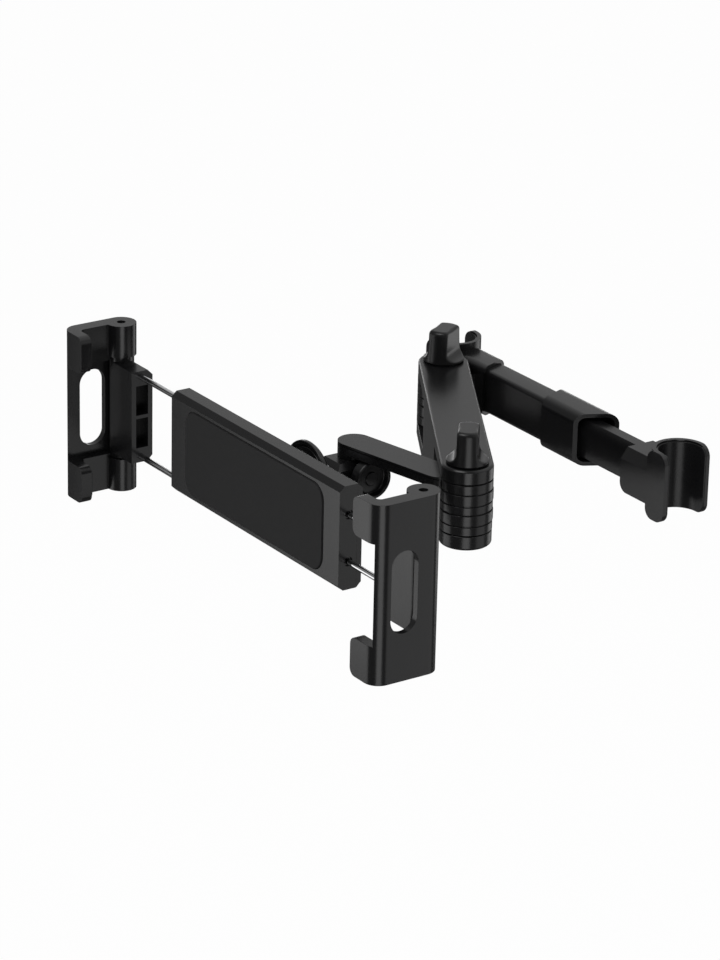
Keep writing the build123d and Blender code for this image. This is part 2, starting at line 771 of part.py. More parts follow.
def rod_pair(heights):
    """Two chrome rods from inside the clamp body to their sockets in the carrier."""
    rods = []
    for height in heights:
        end = carrier_inner + rod_socket_depth
        rod = rod_along_x(rod_y, level_of(height), rod_radius, rod_inner_end, end)
        rods.append(chamfer(rod.edges().filter_by(GeomType.CIRCLE), rod_point))
    return rods


def jaw_plan():
    """Plan of the jaw at its hooks: a thick side wall, a round front corner and an inward hook."""
    outer = jaw_axis + knuckle_radius
    tip = jaw_axis - hook_tip_reach
    front = jaw_y - jaw_reach
    plate = Pos((tip + outer) / 2, (front + jaw_y) / 2) * Rectangle(outer - tip, jaw_y - front)
    plate = fillet(plate.vertices().group_by(Axis.Y)[0].sort_by(Axis.X)[-1], jaw_corner)
    slot_x = (tip - 1, outer - jaw_side_wall)
    slot_y = (front + hook_front_wall, jaw_y + 1)
    slot = Pos(sum(slot_x) / 2, sum(slot_y) / 2) * Rectangle(slot_x[1] - slot_x[0], slot_y[1] - slot_y[0])
    return plate - fillet(slot.vertices().group_by(Axis.Y)[0].sort_by(Axis.X)[-1], jaw_slot_corner)


def jaw():
    """Folding jaw: a tall outer wall with a window, two hooks in front and two hinge knuckles."""
    z = (level_of(jaw_bottom), level_of(jaw_top))
    outer = jaw_axis + knuckle_radius
    inside = jaw_axis - 2 * hook_tip_reach
    front = jaw_y - jaw_reach
    shape = Pos(0, 0, z[0]) * extrude(jaw_plan(), z[1] - z[0])
    shape += column(jaw_axis, jaw_y, knuckle_radius, *z)
    shape -= block((inside, outer - jaw_wall), (front - 1, jaw_y), (z[0] + hook_tall, z[1] - hook_tall))
    tips = shape.edges().filter_by(Axis.Y).group_by(Axis.X)[0]
    shape = fillet(tips, hook_tip_corner)
    notch_z = (level_of(barrel_bottom) - barrel_gap, level_of(barrel_top) + barrel_gap)
    shape -= column(jaw_axis, jaw_y, barrel_radius + notch_gap, *notch_z)
    notch_y = (jaw_y - knuckle_radius - notch_gap, jaw_y + 2 * knuckle_radius)
    shape -= block((inside, jaw_axis), notch_y, notch_z)
    window = Plane(origin=(outer + 1, jaw_y - window_from_axis, level_of(window_centre)),
                   x_dir=(0, 0, 1), z_dir=(-1, 0, 0))
    shape -= extrude(window * SlotOverall(window_height, window_width), jaw_wall + 2)
    shape -= column(jaw_axis, jaw_y, pin_radius + screw_fit, z[0] + pin_recess, z[1] + 1)
    head_floor = z[1] - pin_recess - pin_head_height
    return shape - column(jaw_axis, jaw_y, pin_head_radius + screw_fit, head_floor, z[1] + 1)


def hinge_pin():
    """Pin through both knuckles and the carrier's barrel."""
    z = (level_of(jaw_bottom) + pin_recess + bond_gap, level_of(jaw_top) - pin_recess)
    pin = column(jaw_axis, jaw_y, pin_radius, *z)
    return pin + column(jaw_axis, jaw_y, pin_head_radius, z[1] - pin_head_height, z[1])


def jaw_pads():
    """Rubber facings behind the two hooks."""
    front = jaw_y - jaw_reach + hook_front_wall + bond_gap
    tip = jaw_axis - hook_tip_reach + jaw_pad_margin
    pads = []
    for bottom in (level_of(jaw_bottom), level_of(jaw_top) - hook_tall):
        z = (bottom + 2 * jaw_pad_margin, bottom + hook_tall - 2 * jaw_pad_margin)
        pad = block((tip, tip + jaw_pad_width), (front, front + jaw_pad_thickness), z)
        pads.append(fillet(pad.edges().filter_by(Axis.Y), jaw_pad_margin))
    return pads


def for_side(shape, side):
    """Move a piece, or a list of solids, drawn for the right side about X = 0 to its side of the clamp."""
    if isinstance(shape, list):
        return Compound(children=[for_side(solid, side) for solid in shape])
    return Pos(pan_x, 0, 0) * mirrored(shape, side)


os.makedirs("parts", exist_ok=True)

save("outer_tube", outer_tube())
save("tube_collar", tube_collar())
save("left_hook", left_hook())
save("left_hook_liner", hook_liner())
save("inner_tube", inner_tube())
save("right_hook", right_hook())
save("right_hook_liner", Pos(hook_span, 0, 0) * Rot(0, 0, 180) * hook_liner())

save("upper_arm", upper_arm())
hinges = [
    ("back", back_pivot_x, back_pivot_y, back_wing_angle),
    ("front", front_pivot_x, front_pivot_y, front_wing_angle),
]
for name, x, y, wing_angle in hinges:
    save(name + "_hinge_bolt", hinge_bolt(x, y))
    save(name + "_friction_ring", friction_ring(x, y))
    save(name + "_knob_washer", knob_washer(x, y))
    save(name + "_wing_knob", wing_knob(x, y, wing_angle))

save("lower_arm", lower_arm())
save("neck", neck())
save("ball_stud", ball_stud())
save("pan_screw", pan_screw())
save("side_knob", side_knob())
save("ball_seat", ball_seat())
save("ring_nut", ring_nut())

save("clamp_shell", clamp_shell())
save("clamp_cover", clamp_cover())
save("grip_pad", grip_pad())
save("cover_screws", cover_screws())

for side, heights in (("right", right_rod_heights), ("left", left_rod_heights)):
    save(side + "_carrier", for_side(carrier(heights), side))
    save(side + "_rods", for_side(rod_pair(heights), side))
    save(side + "_jaw", for_side(jaw(), side))
    save(side + "_hinge_pin", for_side(hinge_pin(), side))
    save(side + "_jaw_pads", for_side(jaw_pads(), side))
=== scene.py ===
# %% [markdown]
# # A headrest device holder
#
# A telescopic bar hooks round the two posts of a car seat's headrest. A forked arm and a short arm fold
# out from it, a ball joint carries a wide clamp, and jaws on chrome rods grip from both ends. Nearly all
# of it is black moulded plastic, so the picture lives on what the plastic reflects: a dim room with soft
# lamps, and edges that are never quite sharp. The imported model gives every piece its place, and this file
# gives it its looks.

# %% Load the frame
import json
from math import pi, radians

import bmesh
import bpy
import numpy as np
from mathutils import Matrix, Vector


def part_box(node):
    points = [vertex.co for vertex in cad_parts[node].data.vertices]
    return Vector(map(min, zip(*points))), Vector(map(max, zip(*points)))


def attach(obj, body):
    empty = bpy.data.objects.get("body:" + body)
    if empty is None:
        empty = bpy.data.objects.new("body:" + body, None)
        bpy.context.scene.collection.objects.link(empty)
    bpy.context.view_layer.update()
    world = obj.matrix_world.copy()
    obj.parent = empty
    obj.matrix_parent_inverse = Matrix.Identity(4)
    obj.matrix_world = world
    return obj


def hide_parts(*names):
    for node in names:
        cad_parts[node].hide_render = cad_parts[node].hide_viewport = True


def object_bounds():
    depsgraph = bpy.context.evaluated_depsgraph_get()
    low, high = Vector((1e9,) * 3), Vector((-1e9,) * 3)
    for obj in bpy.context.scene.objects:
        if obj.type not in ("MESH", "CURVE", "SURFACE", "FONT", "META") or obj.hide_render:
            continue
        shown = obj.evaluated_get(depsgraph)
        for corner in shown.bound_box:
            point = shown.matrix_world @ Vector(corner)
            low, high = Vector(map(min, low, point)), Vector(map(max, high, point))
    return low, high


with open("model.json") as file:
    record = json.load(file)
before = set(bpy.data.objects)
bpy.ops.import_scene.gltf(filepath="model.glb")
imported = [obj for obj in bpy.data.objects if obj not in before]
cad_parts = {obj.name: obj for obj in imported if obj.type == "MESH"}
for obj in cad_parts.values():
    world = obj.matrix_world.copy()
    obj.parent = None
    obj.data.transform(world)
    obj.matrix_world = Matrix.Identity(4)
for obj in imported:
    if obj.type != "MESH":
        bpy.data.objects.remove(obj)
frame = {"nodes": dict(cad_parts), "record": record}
cad_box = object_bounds()
scene = bpy.context.scene
MM = 0.001

# %% [markdown]
# ## The camera
#
# The picture was taken from well to the right of the holder and above it, with a long lens, so the far
# hook is hardly smaller than the near one. The camera's place is in metres in the frame's own axes, and
# its angles are in degrees.

# %% Camera
CAMERA_PLACE = (1.41311, -1.02220, 0.63382)
CAMERA_ANGLES = (68.399, -1.184, 55.961)
LENS = 202.65
SENSOR_WIDTH = 36.0
FARTHEST_SEEN = 50.0
camera_data = bpy.data.cameras.new("camera")
camera_data.sensor_fit = "HORIZONTAL"
camera_data.sensor_width = SENSOR_WIDTH
camera_data.lens = LENS
camera_data.clip_end = FARTHEST_SEEN
camera = bpy.data.objects.new("camera", camera_data)
camera.location = CAMERA_PLACE
camera.rotation_euler = [radians(angle) for angle in CAMERA_ANGLES]
scene.collection.objects.link(camera)
scene.camera = camera
scene.view_settings.view_transform = "Standard"
print("camera is", round(camera.location.length, 3), "m from the left post")

# %% [markdown]
# ## Shader maths as plain expressions
#
# A moulded surface needs a little arithmetic: a grain, a slow change of gloss, a colour that drifts by a
# percent. Writing that with nodes is slow to read, so a small class wraps a socket and lets `a * 0.2 + b`
# add the Math nodes.


# %% A socket that can be added and multiplied
class Field:
    """A number that changes over a surface. Arithmetic on it adds Math nodes to its material."""

    def __init__(self, paint, socket):
        self.paint = paint
        self.socket = socket

    def _join(self, operation, first, second):
        out = self.paint.node("ShaderNodeMath", {"operation": operation}, {0: first, 1: second})
        return Field(self.paint, out.outputs[0])

    def __add__(self, other):
        return self._join("ADD", self, other)

    def __mul__(self, other):
        return self._join("MULTIPLY", self, other)

    def __rsub__(self, other):
        return self._join("SUBTRACT", other, self)

    __radd__ = __add__
    __rmul__ = __mul__


class Paint:
    """One material, built from nodes, with a Principled surface."""

    def __init__(self, name):
        self.material = bpy.data.materials.new(name)
        self.material.use_nodes = True
        self.tree = self.material.node_tree
        self.surface = self.tree.nodes["Principled BSDF"]
        coordinates = self.node("ShaderNodeTexCoord", {}, {})
        self.place = coordinates.outputs["Object"]

    def node(self, kind, settings, inputs):
        """Add a node, set its own settings first, then the values or links of its sockets."""
        made = self.tree.nodes.new(kind)
        for key, value in settings.items():
            setattr(made, key, value)
        for key, value in inputs.items():
            value = value.socket if isinstance(value, Field) else value
            if isinstance(value, bpy.types.NodeSocket):
                self.tree.links.new(value, made.inputs[key])
            else:
                made.inputs[key].default_value = value
        return made

    def noise(self, per_metre, detail, stretch=(1, 1, 1)):
        """Smooth noise from 0 to 1, with a given number of lumps to the metre."""
        place = self.place
        if stretch != (1, 1, 1):
            place = self.node("ShaderNodeMapping", {}, {"Vector": place, "Scale": stretch}).outputs[0]
        inputs = {"Vector": place, "Scale": per_metre, "Detail": detail}
        made = self.node("ShaderNodeTexNoise", {}, inputs)
        return Field(self, made.outputs[0])

    def tint(self, dark, light, by):
        """A colour between two, chosen by a field from 0 to 1."""
        inputs = {0: by, 6: (*dark, 1), 7: (*light, 1)}
        made = self.node("ShaderNodeMix", {"data_type": "RGBA"}, inputs)
        return made.outputs[2]

    def set(self, **values):
        """Set or link the surface's own sockets, named with underscores for spaces."""
        for key, value in values.items():
            socket = self.surface.inputs[key.replace("_", " ")]
            value = value.socket if isinstance(value, Field) else value
            if isinstance(value, bpy.types.NodeSocket):
                self.tree.links.new(value, socket)
            else:
                socket.default_value = value

    def grain(self, height, depth, strength):
        """Turn a field into relief of a given depth in metres."""
        inputs = {"Height": height, "Distance": depth, "Strength": strength}
        bump = self.node("ShaderNodeBump", {}, inputs)
        self.set(Normal=bump.outputs[0])


# %% [markdown]
# ## The finishes
#
# The mouldings are black filled plastic with the fine spark-eroded texture of their tool: a soft sheen
# that brightens at a glancing angle. The knobs are the same plastic, a touch duller. Of the rubber pieces,
# the liners are smooth and the pads are dull. The rods are chrome, the small fasteners are steel, and the
# hidden cup of the ball joint is nylon.

# %% Finishes
FLOW_LUMPS = 38
FLOW_DETAIL = 3.0
FLOW_GLOSS = 0.04
TOOL_LUMPS = 2600
TOOL_DETAIL = 2.0
TOOL_GLOSS = 0.03
TOOL_RELIEF = 0.01 * MM
TOOL_STRENGTH = 0.35
PLASTIC_IOR = 1.5


def moulded_plastic(name, dark, light, roughness):
    """Black plastic from a textured tool: fine grain, a slow drift of gloss, a trace of flow in colour."""
    paint = Paint(name)
    flow = paint.noise(FLOW_LUMPS, FLOW_DETAIL)
    texture = paint.noise(TOOL_LUMPS, TOOL_DETAIL)
    dullness = flow * FLOW_GLOSS + texture * TOOL_GLOSS + roughness
    paint.set(Base_Color=paint.tint(dark, light, flow), Roughness=dullness, IOR=PLASTIC_IOR)
    paint.grain(texture, TOOL_RELIEF, TOOL_STRENGTH)
    return paint.material


CLOUD_LUMPS = 60
CLOUD_DETAIL = 4.0
CLOUD_SHADE = 0.86
PEBBLE_LUMPS = 3400
PEBBLE_DETAIL = 3.0
PEBBLE_GLOSS = 0.12
PEBBLE_RELIEF = 0.02 * MM
PEBBLE_STRENGTH = 0.7
RUBBER_IOR = 1.4


def rubber(name, shade, roughness):
    """Moulded rubber with a slightly pebbled skin and a cloudy shade."""
    paint = Paint(name)
    cloud = paint.noise(CLOUD_LUMPS, CLOUD_DETAIL)
    pebble = paint.noise(PEBBLE_LUMPS, PEBBLE_DETAIL)
    low = [channel * CLOUD_SHADE for channel in shade]
    dullness = pebble * PEBBLE_GLOSS + roughness
    paint.set(Base_Color=paint.tint(low, shade, cloud), Roughness=dullness, IOR=RUBBER_IOR)
    paint.grain(pebble, PEBBLE_RELIEF, PEBBLE_STRENGTH)
    return paint.material


LINE_LUMPS = 900
LINE_DETAIL = 2.0
LINE_SHADE = 0.92
LINE_GLOSS = 0.05
LINE_RELIEF = 0.004 * MM
LINE_STRENGTH = 0.4


def metal(name, shade, roughness, stretch):
    """Drawn or turned metal with faint lines along its working direction."""
    paint = Paint(name)
    lines = paint.noise(LINE_LUMPS, LINE_DETAIL, stretch)
    low = [channel * LINE_SHADE for channel in shade]
    dullness = lines * LINE_GLOSS + roughness
    paint.set(Base_Color=paint.tint(low, shade, lines), Roughness=dullness, Metallic=1.0)
    paint.grain(lines, LINE_RELIEF, LINE_STRENGTH)
    return paint.material


# %% The seven finishes, and the node that wears each
BLACK_LOW = (0.0045, 0.0045, 0.0048)
BLACK_HIGH = (0.0065, 0.0065, 0.007)
NYLON_LOW = (0.030, 0.030, 0.030)
NYLON_HIGH = (0.045, 0.045, 0.045)
LINER_SHADE = (0.008, 0.008, 0.0085)
PAD_SHADE = (0.005, 0.005, 0.0055)
CHROME_SHADE = (0.82, 0.82, 0.83)
STEEL_SHADE = (0.42, 0.42, 0.43)
ALONG_X = (0.02, 1, 1)
ALONG_Z = (1, 1, 0.05)
FINISH = {
    "satin_plastic": moulded_plastic("satin_black_plastic", BLACK_LOW, BLACK_HIGH, 0.21),
    "knob_plastic": moulded_plastic("handled_black_plastic", BLACK_LOW, BLACK_HIGH, 0.25),
    "liner_rubber": rubber("liner_rubber", LINER_SHADE, 0.22),
    "pad_rubber": rubber("pad_rubber", PAD_SHADE, 0.50),
    "rod_chrome": metal("rod_chrome", CHROME_SHADE, 0.06, ALONG_X),
    "steel": metal("plain_steel", STEEL_SHADE, 0.28, ALONG_Z),
    "nylon": moulded_plastic("plain_nylon", NYLON_LOW, NYLON_HIGH, 0.45),
}
slot_of = {part["node"]: part["material_slot"] for part in frame["record"]["subparts"]}
bodies = frame["record"]["behaviour"]["bodies"]
body_of = {node: body for body, nodes in bodies.items() for node in nodes}
for name, node in frame["nodes"].items():
    node.data.materials.clear()
    node.data.materials.append(FINISH[slot_of[name]])
print("finishes", len(FINISH))

# %% [markdown]
# ## Moulded edges
#
# A moulding tool can't hold a razor edge, and it is the thin bright line along each edge that says "real
# plastic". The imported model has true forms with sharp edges, so each moulding is shown by a copy of its
# mesh: merged, its flat faces joined again, its sharp edges given a small round, and shaded smooth
# between. The liners end a little short of the hooks' rims, which leaves a fine step there.

# %% Copies with rounded edges
MERGE_WITHIN = 0.002 * MM
FLAT_ANGLE = 0.6
EDGE_ANGLE = 28.0
SET_BACK = ("left_hook_liner", "right_hook_liner")
LINER_STEP = 0.7 * MM
BEVEL_STEPS = 2


def moulding(name, round_mm):
    """A copy of one node whose sharp edges are rounded. It rides on the node's body and replaces it."""
    mesh = frame["nodes"][name].data.copy()
    work = bmesh.new()
    work.from_mesh(mesh)
    bmesh.ops.remove_doubles(work, verts=work.verts, dist=MERGE_WITHIN)
    bmesh.ops.dissolve_limit(work, angle_limit=radians(FLAT_ANGLE), verts=work.verts, edges=work.edges)
    for face in work.faces:
        face.smooth = True
    for edge in work.edges:
        if len(edge.link_faces) == 2:
            edge.smooth = edge.calc_face_angle(0.0) < radians(EDGE_ANGLE)
    work.to_mesh(mesh)
    work.free()
    if name in SET_BACK:
        places = np.empty(len(mesh.vertices) * 3)
        mesh.vertices.foreach_get("co", places)
        places = places.reshape(-1, 3)
        lowest = places[:, 2].min() + LINER_STEP
        highest = places[:, 2].max() - LINER_STEP
        places[:, 2] = np.clip(places[:, 2], lowest, highest)
        mesh.vertices.foreach_set("co", places.ravel())
    piece = bpy.data.objects.new(name + "_moulding", mesh)
    scene.collection.objects.link(piece)
    bevel = piece.modifiers.new("moulded_edges", "BEVEL")
    bevel.width = round_mm * MM
    bevel.segments = BEVEL_STEPS
    bevel.limit_method = "ANGLE"
    bevel.angle_limit = radians(EDGE_ANGLE)
    bevel.harden_normals = True
    bevel.use_clamp_overlap = True
    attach(piece, body_of[name])
    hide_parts(name)
    return piece


ROUNDS = {
    "outer_tube": 0.35, "tube_collar": 0.85, "left_hook": 0.5, "inner_tube": 0.3, "right_hook": 0.5,
    "left_hook_liner": 0.25, "right_hook_liner": 0.25, "upper_arm": 0.4, "lower_arm": 0.35, "neck": 0.4,
    "clamp_shell": 0.3, "clamp_cover": 0.3, "grip_pad": 0.15, "left_carrier": 0.4, "right_carrier": 0.4,
    "left_jaw": 0.5, "right_jaw": 0.5, "left_jaw_pads": 0.2, "right_jaw_pads": 0.2, "ball_seat": 0.15,
    "pan_screw": 0.15, "left_hinge_pin": 0.15, "right_hinge_pin": 0.15, "cover_screws": 0.1,
    "back_hinge_bolt": 0.2, "front_hinge_bolt": 0.2,
}
mouldings = [moulding(name, size) for name, size in ROUNDS.items()]
print("mouldings", len(mouldings))

# %% [markdown]
# ## Turned and swept surfaces
#
# The other pieces are surfaces worked out as arrays. A grid of points has one row for each place along a
# profile and one column for each place round it. Rows and columns of neighbours make the faces, and the
# points that fall together at a pole are merged.

# %% From a grid of points to a piece
POLE_WITHIN = 0.0005 * MM


def skin(name, grid, node, replaced=(), ends_closed=False):
    """Quads between the neighbours of a grid of points [rows, columns, 3]. The columns run round and
    close, and the last row joins the first one where the grid is a loop. The piece takes the body and
    the finish of the node that it belongs to."""
    rows, columns = grid.shape[:2]
    index = np.arange(rows * columns).reshape(rows, columns)
    right = np.roll(index, -1, axis=1)
    if ends_closed:
        index = np.vstack([index, index[:1]])
        right = np.vstack([right, right[:1]])
    quads = np.stack([index[:-1], right[:-1], right[1:], index[1:]], axis=-1).reshape(-1, 4)
    mesh = bpy.data.meshes.new(name)
    mesh.from_pydata((grid.reshape(-1, 3) * MM).tolist(), [], quads.tolist())
    work = bmesh.new()
    work.from_mesh(mesh)
    bmesh.ops.remove_doubles(work, verts=work.verts, dist=POLE_WITHIN)
    bmesh.ops.recalc_face_normals(work, faces=work.faces)
    for face in work.faces:
        face.smooth = True
    work.to_mesh(mesh)
    work.free()
    mesh.materials.append(FINISH[slot_of[node]])
    piece = bpy.data.objects.new(name, mesh)
    scene.collection.objects.link(piece)
    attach(piece, body_of[node])
    if replaced:
        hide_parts(*replaced)
    return piece


def rounded(corners, steps=5, hold=0.03):
    """An outline of (radius, height, corner radius) rows with its corners turned into arcs. An arc
    touches both sides at corner / tan(half the inner angle) from the corner, and a point a little
    before and after it keeps the flat sides flat under smooth shading."""
    points = []
    last = len(corners) - 1
    for k, (x, y, size) in enumerate(corners):
        here = np.array([x, y], float)
        if size == 0 or k in (0, last):
            points.append(here[None])
            continue
        before = np.array(corners[k - 1][:2], float) - here
        after = np.array(corners[k + 1][:2], float) - here
        before = before / np.hypot(*before)
        after = after / np.hypot(*after)
        half = np.arccos(np.clip(before @ after, -1, 1)) / 2
        reach = size / np.tan(half)
        middle = here + (before + after) / np.hypot(*(before + after)) * size / np.sin(half)
        start = here + before * reach
        stop = here + after * reach
        share = np.linspace(0, 1, steps + 1)[:, None]
        spread = pi - 2 * half
        arc = np.sin((1 - share) * spread) * (start - middle) + np.sin(share * spread) * (stop - middle)
        arc = middle + arc / np.sin(spread)
        points.append(np.vstack([start + before * hold, arc, stop + after * hold]))
    return np.vstack(points)


def turned(profile, centre, axis, segments=96):
    """A profile of (radius, along) points turned round an axis: the point at angle a is
    centre + along * axis + radius * (cos a * first + sin a * second)."""
    axis = np.array(axis, float)
    upright = abs(axis[2]) > 0.5
    first = np.array([1.0, 0.0, 0.0]) if upright else np.array([0.0, 0.0, 1.0])
    second = np.cross(axis, first)
    angle = np.linspace(0, 2 * pi, segments, endpoint=False)
    ring = np.cos(angle)[:, None] * first + np.sin(angle)[:, None] * second
    radius, along = profile[:, 0], profile[:, 1]
    middle = np.array(centre, float)
    return middle + along[:, None, None] * axis + radius[:, None, None] * ring


def middle_of(node):
    """The middle of a node's box at rest, in millimetres."""
    lowest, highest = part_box(node)
    return (np.array(lowest) + np.array(highest)) / 2 / MM


def span_of(node, axis):
    """The lowest and highest place of a node along one axis, in millimetres."""
    lowest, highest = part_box(node)
    return lowest[axis] / MM, highest[axis] / MM


# %% [markdown]
# ## The wing knobs
#
# A wing knob starts as a tapered peg. A scoop in each side leaves one thick wing, which a thumb and a
# finger turn. One formula gives the whole side: the smaller of the peg's radius and the distance to the
# wing's side, blended so that the edge between them is just soft, as the tool leaves it.

# %% Wing knobs
KNOB_BASE = 9.2
KNOB_TOP = 8.0
KNOB_HEIGHT = 15.2
KNOB_FOOT = 1.2
FOOT_ROUND = [(0.0, 0.3), (0.25, 0.05)]
FOOT_START = 0.3
WING_HALF = 4.6
WING_ROOT = 4.6
WING_EDGE = 1.7
WING_BLEND = 26.0
WING_START = 6.6
NO_WING = 40.0
LEAST_SINE = 0.02
FIRST_TURN = 0.15
FOOT_ROWS = 4
ROOT_ROWS = 12
WING_ROWS = 6
EDGE_ROWS = 9
LID_ROWS = [0.985, 0.5, 0.0]
WASHER_ROOM = (6.8, 0.9)
SHANK_ROOM = (2.56, 11.3)
KNOB_COLUMNS = 128


def knob_rows():
    """Heights of the side's rows, and how far each row draws in: a small round at the foot, the quarter
    circle where the wing leaves the foot, the wing, and the quarter circle of its top edge."""
    foot_z, foot_inset = np.array(FOOT_ROUND).T
    root_turn = np.linspace(FIRST_TURN, pi / 2, ROOT_ROWS)
    edge_turn = np.linspace(FIRST_TURN, pi / 2, EDGE_ROWS)
    z = np.concatenate([
        foot_z,
        np.linspace(FOOT_START, KNOB_FOOT, FOOT_ROWS),
        KNOB_FOOT + WING_ROOT * (1 - np.cos(root_turn)),
        np.linspace(WING_START, KNOB_HEIGHT - WING_EDGE, WING_ROWS),
        KNOB_HEIGHT - WING_EDGE * (1 - np.sin(edge_turn)),
    ])
    straight = np.zeros(len(z) - len(foot_inset) - len(edge_turn))
    inset = np.concatenate([foot_inset, straight, WING_EDGE * (1 - np.cos(edge_turn))])
    return z, inset


def wing_knob(name, angle):
    """Radius at angle a and height z: (peg(z)^-p + (wing(z) / |sin a|)^-p)^(-1/p). The peg tapers, and
    the wing's half width grows as a quarter circle towards the foot. The top edge draws in along an arc."""
    foot = span_of(name, 2)[0]
    x, y = middle_of(name)[:2]
    z, inset = knob_rows()
    peg = KNOB_BASE + (KNOB_TOP - KNOB_BASE) * z / KNOB_HEIGHT
    rise = np.clip((z - KNOB_FOOT) / WING_ROOT, 0, 1)
    flare = WING_ROOT * (1 - np.sqrt(1 - (1 - rise) ** 2))
    wing = np.where(z <= KNOB_FOOT, NO_WING, WING_HALF + flare)
    around = np.linspace(0, 2 * pi, KNOB_COLUMNS, endpoint=False)
    side = np.maximum(np.abs(np.sin(around)), LEAST_SINE)
    blend = peg[:, None] ** -WING_BLEND + (wing[:, None] / side) ** -WING_BLEND
    shape = blend ** (-1 / WING_BLEND) - inset[:, None]
    lid = shape[-1] * np.array(LID_ROWS)[:, None]
    under = np.array([(0.0, SHANK_ROOM[1]), SHANK_ROOM, (SHANK_ROOM[0], WASHER_ROOM[1]), WASHER_ROOM,
                      (WASHER_ROOM[0], 0.0)])
    radius = np.vstack([np.repeat(under[:, :1], KNOB_COLUMNS, axis=1), shape, lid])
    height = np.concatenate([under[:, 1], z, np.full(len(LID_ROWS), KNOB_HEIGHT)])
    bearing = around + radians(angle)
    level = np.repeat(foot + height[:, None], KNOB_COLUMNS, axis=1)
    grid = np.stack([x + radius * np.cos(bearing), y + radius * np.sin(bearing), level], axis=-1)
    return skin(name + "_moulded", grid, name, [name])


WING_ANGLES = {"back_wing_knob": -59.5, "front_wing_knob": -38.0}
knobs = [wing_knob(name, angle) for name, angle in WING_ANGLES.items()]
print("wing knobs", len(knobs), "of", len(knobs[0].data.polygons), "faces")

# %% [markdown]
# ## The banded hinge columns
#
# Each hinge column is ringed like a stack of coins, so that a hand finds where the arm bends. Two of the
# five rings have a raised band nearly half round. The other rings, and the rest of those two, stand a
# little lower. The gaps that stay open between them are the dark lines.

# %% Hinge rings
COLUMN = 10.8
RING = 11.3
BAND = 11.5
RING_EDGE = 0.16
RING_ROOT = 0.4
ROOT_EDGE = 0.1
RING_ROWS = [(6.65, 2.85), (2.15, -2.35), (-3.05, -6.3), (-6.95, -11.45), (-12.1, -15.85)]
BANDED = (1, 3)
BAND_REACH = (-98.0, 72.0)
BAND_GAP = 4.0
FULL_TURN = 360.0
DEGREES_A_STEP = 3
LEAST_STEPS = 8


def hinge_ring(name, place, radius, top, bottom, start, stop, node):
    """A rounded strip carried round the column from one angle to another: a closed profile of radius and
    height, turned about the pivot. At both ends its points close on the middle of the profile."""
    inner = COLUMN - RING_ROOT
    middle = (top + bottom) / 2
    outline = rounded([
        (inner, middle, 0), (inner, top, ROOT_EDGE), (radius, top, RING_EDGE),
        (radius, bottom, RING_EDGE), (inner, bottom, ROOT_EDGE), (inner, middle, 0),
    ])[:-1]
    steps = max(int((stop - start) / DEGREES_A_STEP), LEAST_STEPS)
    angle = np.radians(np.linspace(start, stop, steps))
    full = stop - start == FULL_TURN
    angle = angle[:-1] if full else angle
    away = outline[:, 0]
    x = place[0] + np.cos(angle)[:, None] * away
    y = place[1] + np.sin(angle)[:, None] * away
    z = np.repeat(outline[None, :, 1], len(angle), axis=0)
    grid = np.stack([x, y, z], axis=-1)
    if not full:
        columns = grid.shape[1]
        first = np.repeat(grid[:1].mean(axis=1, keepdims=True), columns, axis=1)
        last = np.repeat(grid[-1:].mean(axis=1, keepdims=True), columns, axis=1)
        grid = np.concatenate([first, grid, last])
    return skin(name, grid, node, (), full)


rings = []
for end, node in (("back", "left_hook"), ("front", "lower_arm")):
    place = middle_of(end + "_hinge_bolt")
    for row, (top, bottom) in enumerate(RING_ROWS):
        name = f"{end}_hinge_ring_{row + 1}"
        if row in BANDED:
            rings.append(hinge_ring(name + "_raised", place, BAND, top, bottom, *BAND_REACH, node))
            rest = (BAND_REACH[1] + BAND_GAP, BAND_REACH[0] - BAND_GAP + FULL_TURN)
            rings.append(hinge_ring(name, place, RING, top, bottom, *rest, node))
        else:
            rings.append(hinge_ring(name, place, RING, top, bottom, 0.0, FULL_TURN, node))
print("hinge rings and bands", len(rings))

# %% [markdown]
# ## Turned pieces
#
# The nut of the ball joint, the thumb knob, the ball and the chrome rods are all turned: a profile of a
# few corners, each with its own small round, goes round an axis. On a turned piece the round edge is what
# catches the light. Each row of a profile is a radius, a place along the axis and the corner's own radius.

# %% Ring nut, with the flange at its back and the dish inside the flange
turned_pieces = []
nut_middle = middle_of("ring_nut")
nut_back = (nut_middle[0], span_of("ring_nut", 1)[1], nut_middle[2])
nut_profile = rounded([
    (8.6, -1.5, 0), (8.6, 0.0, 0.3), (15.2, 0.0, 0.8), (16.4, -1.3, 0.8),
    (16.4, -3.1, 0.5), (14.9, -3.1, 0.4), (14.3, -2.0, 0.3), (12.9, -2.0, 0.5),
    (12.9, -10.4, 0.5), (11.8, -10.4, 0.2), (11.8, -1.5, 0.2), (8.6, -1.5, 0),
])
nut_grid = turned(nut_profile, nut_back, (0, 1, 0))
turned_pieces.append(skin("ring_nut_turned", nut_grid, "ring_nut", ["ring_nut"]))

# %% Thumb knob, with its dish and its screw
knob_y, knob_z = middle_of("side_knob")[1:]
knob_end = span_of("side_knob", 0)[1]
knob_profile = rounded([
    (0.0, -17.0, 0), (1.6, -17.0, 0.3), (1.6, -6.7, 0.0), (7.6, -6.7, 0.6),
    (9.0, -5.0, 1.0), (9.0, 0.0, 1.2), (7.2, 0.0, 0.4), (6.8, -2.6, 0.5),
    (3.2, -2.6, 0.4), (2.9, -1.9, 0.3), (0.0, -1.8, 0),
])
knob_grid = turned(knob_profile, (knob_end, knob_y, knob_z), (1, 0, 0))
turned_pieces.append(skin("side_knob_turned", knob_grid, "side_knob", ["side_knob"]))

